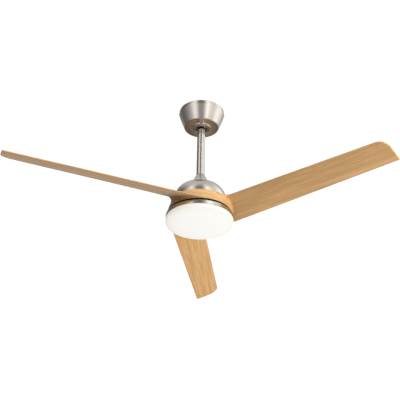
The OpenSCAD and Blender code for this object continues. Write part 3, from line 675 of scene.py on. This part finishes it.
def blade_row(s, top, foot):
    """The loop of points round share s of the chord: 0 is the high edge, 1 the low edge.

    It goes up the inside of the hub band, down its outside to the blade, out along the blade's
    upper face, back along its lower face, and down to the band's foot. Returns the lists of
    points of the band above the blade, the upper face, the lower face and the band below.
    """
    def wall_radius(z):
        return (HUB_TOP_D + (HUB_BOTTOM_D - HUB_TOP_D) * (top - z) / (top - foot)) / 2

    def plane_z(y):
        return top - BLADE_DROP - SLOPE * y

    x0 = 60.0
    y0 = straight_y(s, x0) - flare_y(s, 0)
    for _ in range(12):
        x0 = math.sqrt(max(0.0, wall_radius(plane_z(y0)) ** 2 - y0 * y0))
        y0 = straight_y(s, x0) - flare_y(s, 0)
    angle = math.asin(min(max(y0 / wall_radius(plane_z(y0)), -1), 1))
    full = EDGE_THICK + CROWN * (4 * s * (1 - s)) ** 0.8
    chord = low_y(x0) - high_y(x0) + flare_y(0, 0)
    half = full / 2 * rounding(min(s, 1 - s) * chord)

    def mid_z(y, d):
        margin = full / 2 + EDGE_CLEAR
        held = min(max(plane_z(y), foot + margin), top - margin)
        free = min(plane_z(y), top - margin)
        return held + (free - held) * smooth(d / 30)

    zm = mid_z(y0, 0)
    # the root fillets die out at the edges, but the lower one grows into a gusset at the high edge
    fade_low = smooth((1 - s) / FILLET_FADE)
    room_top, room_low = 0.8 * (top - zm - full / 2), 0.85 * (zm - full / 2 - foot)
    fillet_top = min(FILLET_TOP, room_top) * smooth(s / FILLET_FADE) * fade_low
    fillet_low = min(FILLET_LOW + GUSSET * (1 - smooth(s / GUSSET_FADE)), room_low) * fade_low
    fillet_out = max(fillet_top, fillet_low)
    tip_far = math.sqrt(SPAN_R ** 2 - low_y(SPAN_R) ** 2)
    across = low_y(SPAN_R) - high_y(SPAN_R)
    cut = corner_cut(s * across, TIP_CORNER) + corner_cut((1 - s) * across, TIP_NIP)
    reach = tip_far - TIP_SKEW * (1 - s) * across - cut - x0

    def wall(z, inset=0.0):
        r = wall_radius(z) - inset
        return (r * math.cos(angle), r * math.sin(angle), z)

    def out(d, dz):
        y = straight_y(s, x0 + d) - flare_y(s, d)
        z = mid_z(y, d) + dz
        lean = (wall_radius(z) - wall_radius(zm)) * max(0.0, 1 - d / 20)
        return (x0 + d + lean * math.cos(angle), y + lean * math.sin(angle), z)

    def face(fillet, side):
        """Points of one face from its fillet to the tip; side is 1 above, -1 below."""
        points = []
        for i in range(1, FILLET_STEPS + 1):
            a = math.pi / 2 * i / FILLET_STEPS
            height = half + fillet * (1 - math.sin(a))
            points.append(out(fillet_out * (1 - math.cos(a)), side * height))
        free = reach - fillet_out
        near = [0.6, 1.5, 3, 5, 8, 12, 16, 21, 27, 34, 42, 52, 64]
        end = [40, 30, 22, 16, 11, 7.5, 5, 3.2, 2, 1.3, 0.8, 0.45, 0.2, 0.06, 0]
        middle = [near[-1] + (free - near[-1] - end[0]) * k / 22 for k in range(1, 22)]
        for d in near + middle + [free - e for e in end]:
            points.append(out(fillet_out + d, side * half * rounding(free - d)))
        return points

    upper_from, lower_to = zm + half + fillet_top, zm - half - fillet_low
    lip_top, lip_foot = top - LIP, foot + LIP
    before = [
        wall(lip_foot, WALL), wall(lip_top, WALL), wall(top - LIP_CHAMFER, WALL - LIP_CHAMFER),
        wall(top, WALL - LIP), wall(top, LIP), wall(top - LIP_CHAMFER, LIP_CHAMFER), wall(lip_top),
    ]
    before += [wall(lip_top - (lip_top - upper_from) * k / 3) for k in range(1, 4)]
    after = [wall(lower_to - (lower_to - lip_foot) * k / 3) for k in range(0, 4)]
    after += [
        wall(foot + LIP_CHAMFER, LIP_CHAMFER), wall(foot, LIP), wall(foot, WALL - LIP),
        wall(foot + LIP_CHAMFER, WALL - LIP_CHAMFER),
    ]
    return before, face(fillet_top, 1), face(fillet_low, -1)[::-1], after


def make_blade(index):
    """A blade with its third of the hub band. Row 0 of the blade's loops is its high edge."""
    _, high = box_mm("blade_1")
    top = high[2]
    foot = top - HUB_TALL
    shares = [(1 - math.cos(math.pi * i / (ROWS - 1))) / 2 for i in range(ROWS)]
    rows = [blade_row(s, top, foot) for s in shares]
    before, upper, lower, _ = (len(part) for part in rows[0])
    grid = np.array([sum(row, []) for row in rows])
    count = grid.shape[1]
    blade_from, blade_to = before - 1, before + upper + lower
    # the band before the blade: the wall points of row 0, carried back round the axis
    wall_ids = list(range(before)) + list(range(blade_to, count))
    walls = len(wall_ids)
    first = grid[0][wall_ids]
    start = math.radians(-30 + GAP)
    here = math.atan2(first[0][1], first[0][0])
    back = [start + (here - start) * i / BAND_COLUMNS - here for i in range(BAND_COLUMNS)]
    band = [first @ spin_z(a).T for a in back]
    points = np.concatenate(band + [grid.reshape(-1, 3)])

    def row_id(r, k):
        return BAND_COLUMNS * walls + r * count + k % count

    def band_id(c, k):
        """Point k of column c of the band; the last column is row 0 of the blade's loops."""
        return c * walls + k if c < BAND_COLUMNS else row_id(0, wall_ids[k])

    faces, on_blade = [], []

    def add_face(face, blade):
        faces.append(face)
        on_blade.append(blade)

    for c in range(BAND_COLUMNS):
        for k in range(walls):
            m = (k + 1) % walls
            add_face((band_id(c, k), band_id(c + 1, k), band_id(c + 1, m), band_id(c, m)), False)
    for r in range(ROWS - 1):
        for k in range(count):
            face = (row_id(r, k), row_id(r + 1, k), row_id(r + 1, k + 1), row_id(r, k + 1))
            add_face(face, blade_from <= k < blade_to)
    # the gusset's side below the high edge
    for k in range(FILLET_STEPS):
        above, below = blade_from + k, blade_to - k
        add_face(tuple(row_id(0, i) for i in (above, above + 1, below - 1, below)), True)
    # close the start of the band, and the end of the last row's wall
    add_face(tuple(range(walls)), False)
    add_face(tuple(row_id(ROWS - 1, k) for k in wall_ids), False)

    uvs = []
    for face, blade in zip(faces, on_blade):
        for x, y, z in points[list(face)]:
            u, v = (x, y) if blade else (GRAIN_RADIUS * math.atan2(y, x), z + 500)
            uvs.append(((u + GRAIN_SHIFT[0] * index) * MM, (v + GRAIN_SHIFT[1] * index) * MM))
    spin = spin_z(math.radians(HEADING + 120 * index))
    name = f"oak_blade_{index + 1}"
    mesh = tidy_mesh(name, points @ spin.T * MM, faces, uvs, merge=4e-6)
    make_object(name, mesh, "rotor", "oak", f"blade_{index + 1}", sharp=40)


make_canopy()
make_stem()
make_light_cover()
for blade_index in range(3):
    make_blade(blade_index)
make_stage()
make_light()
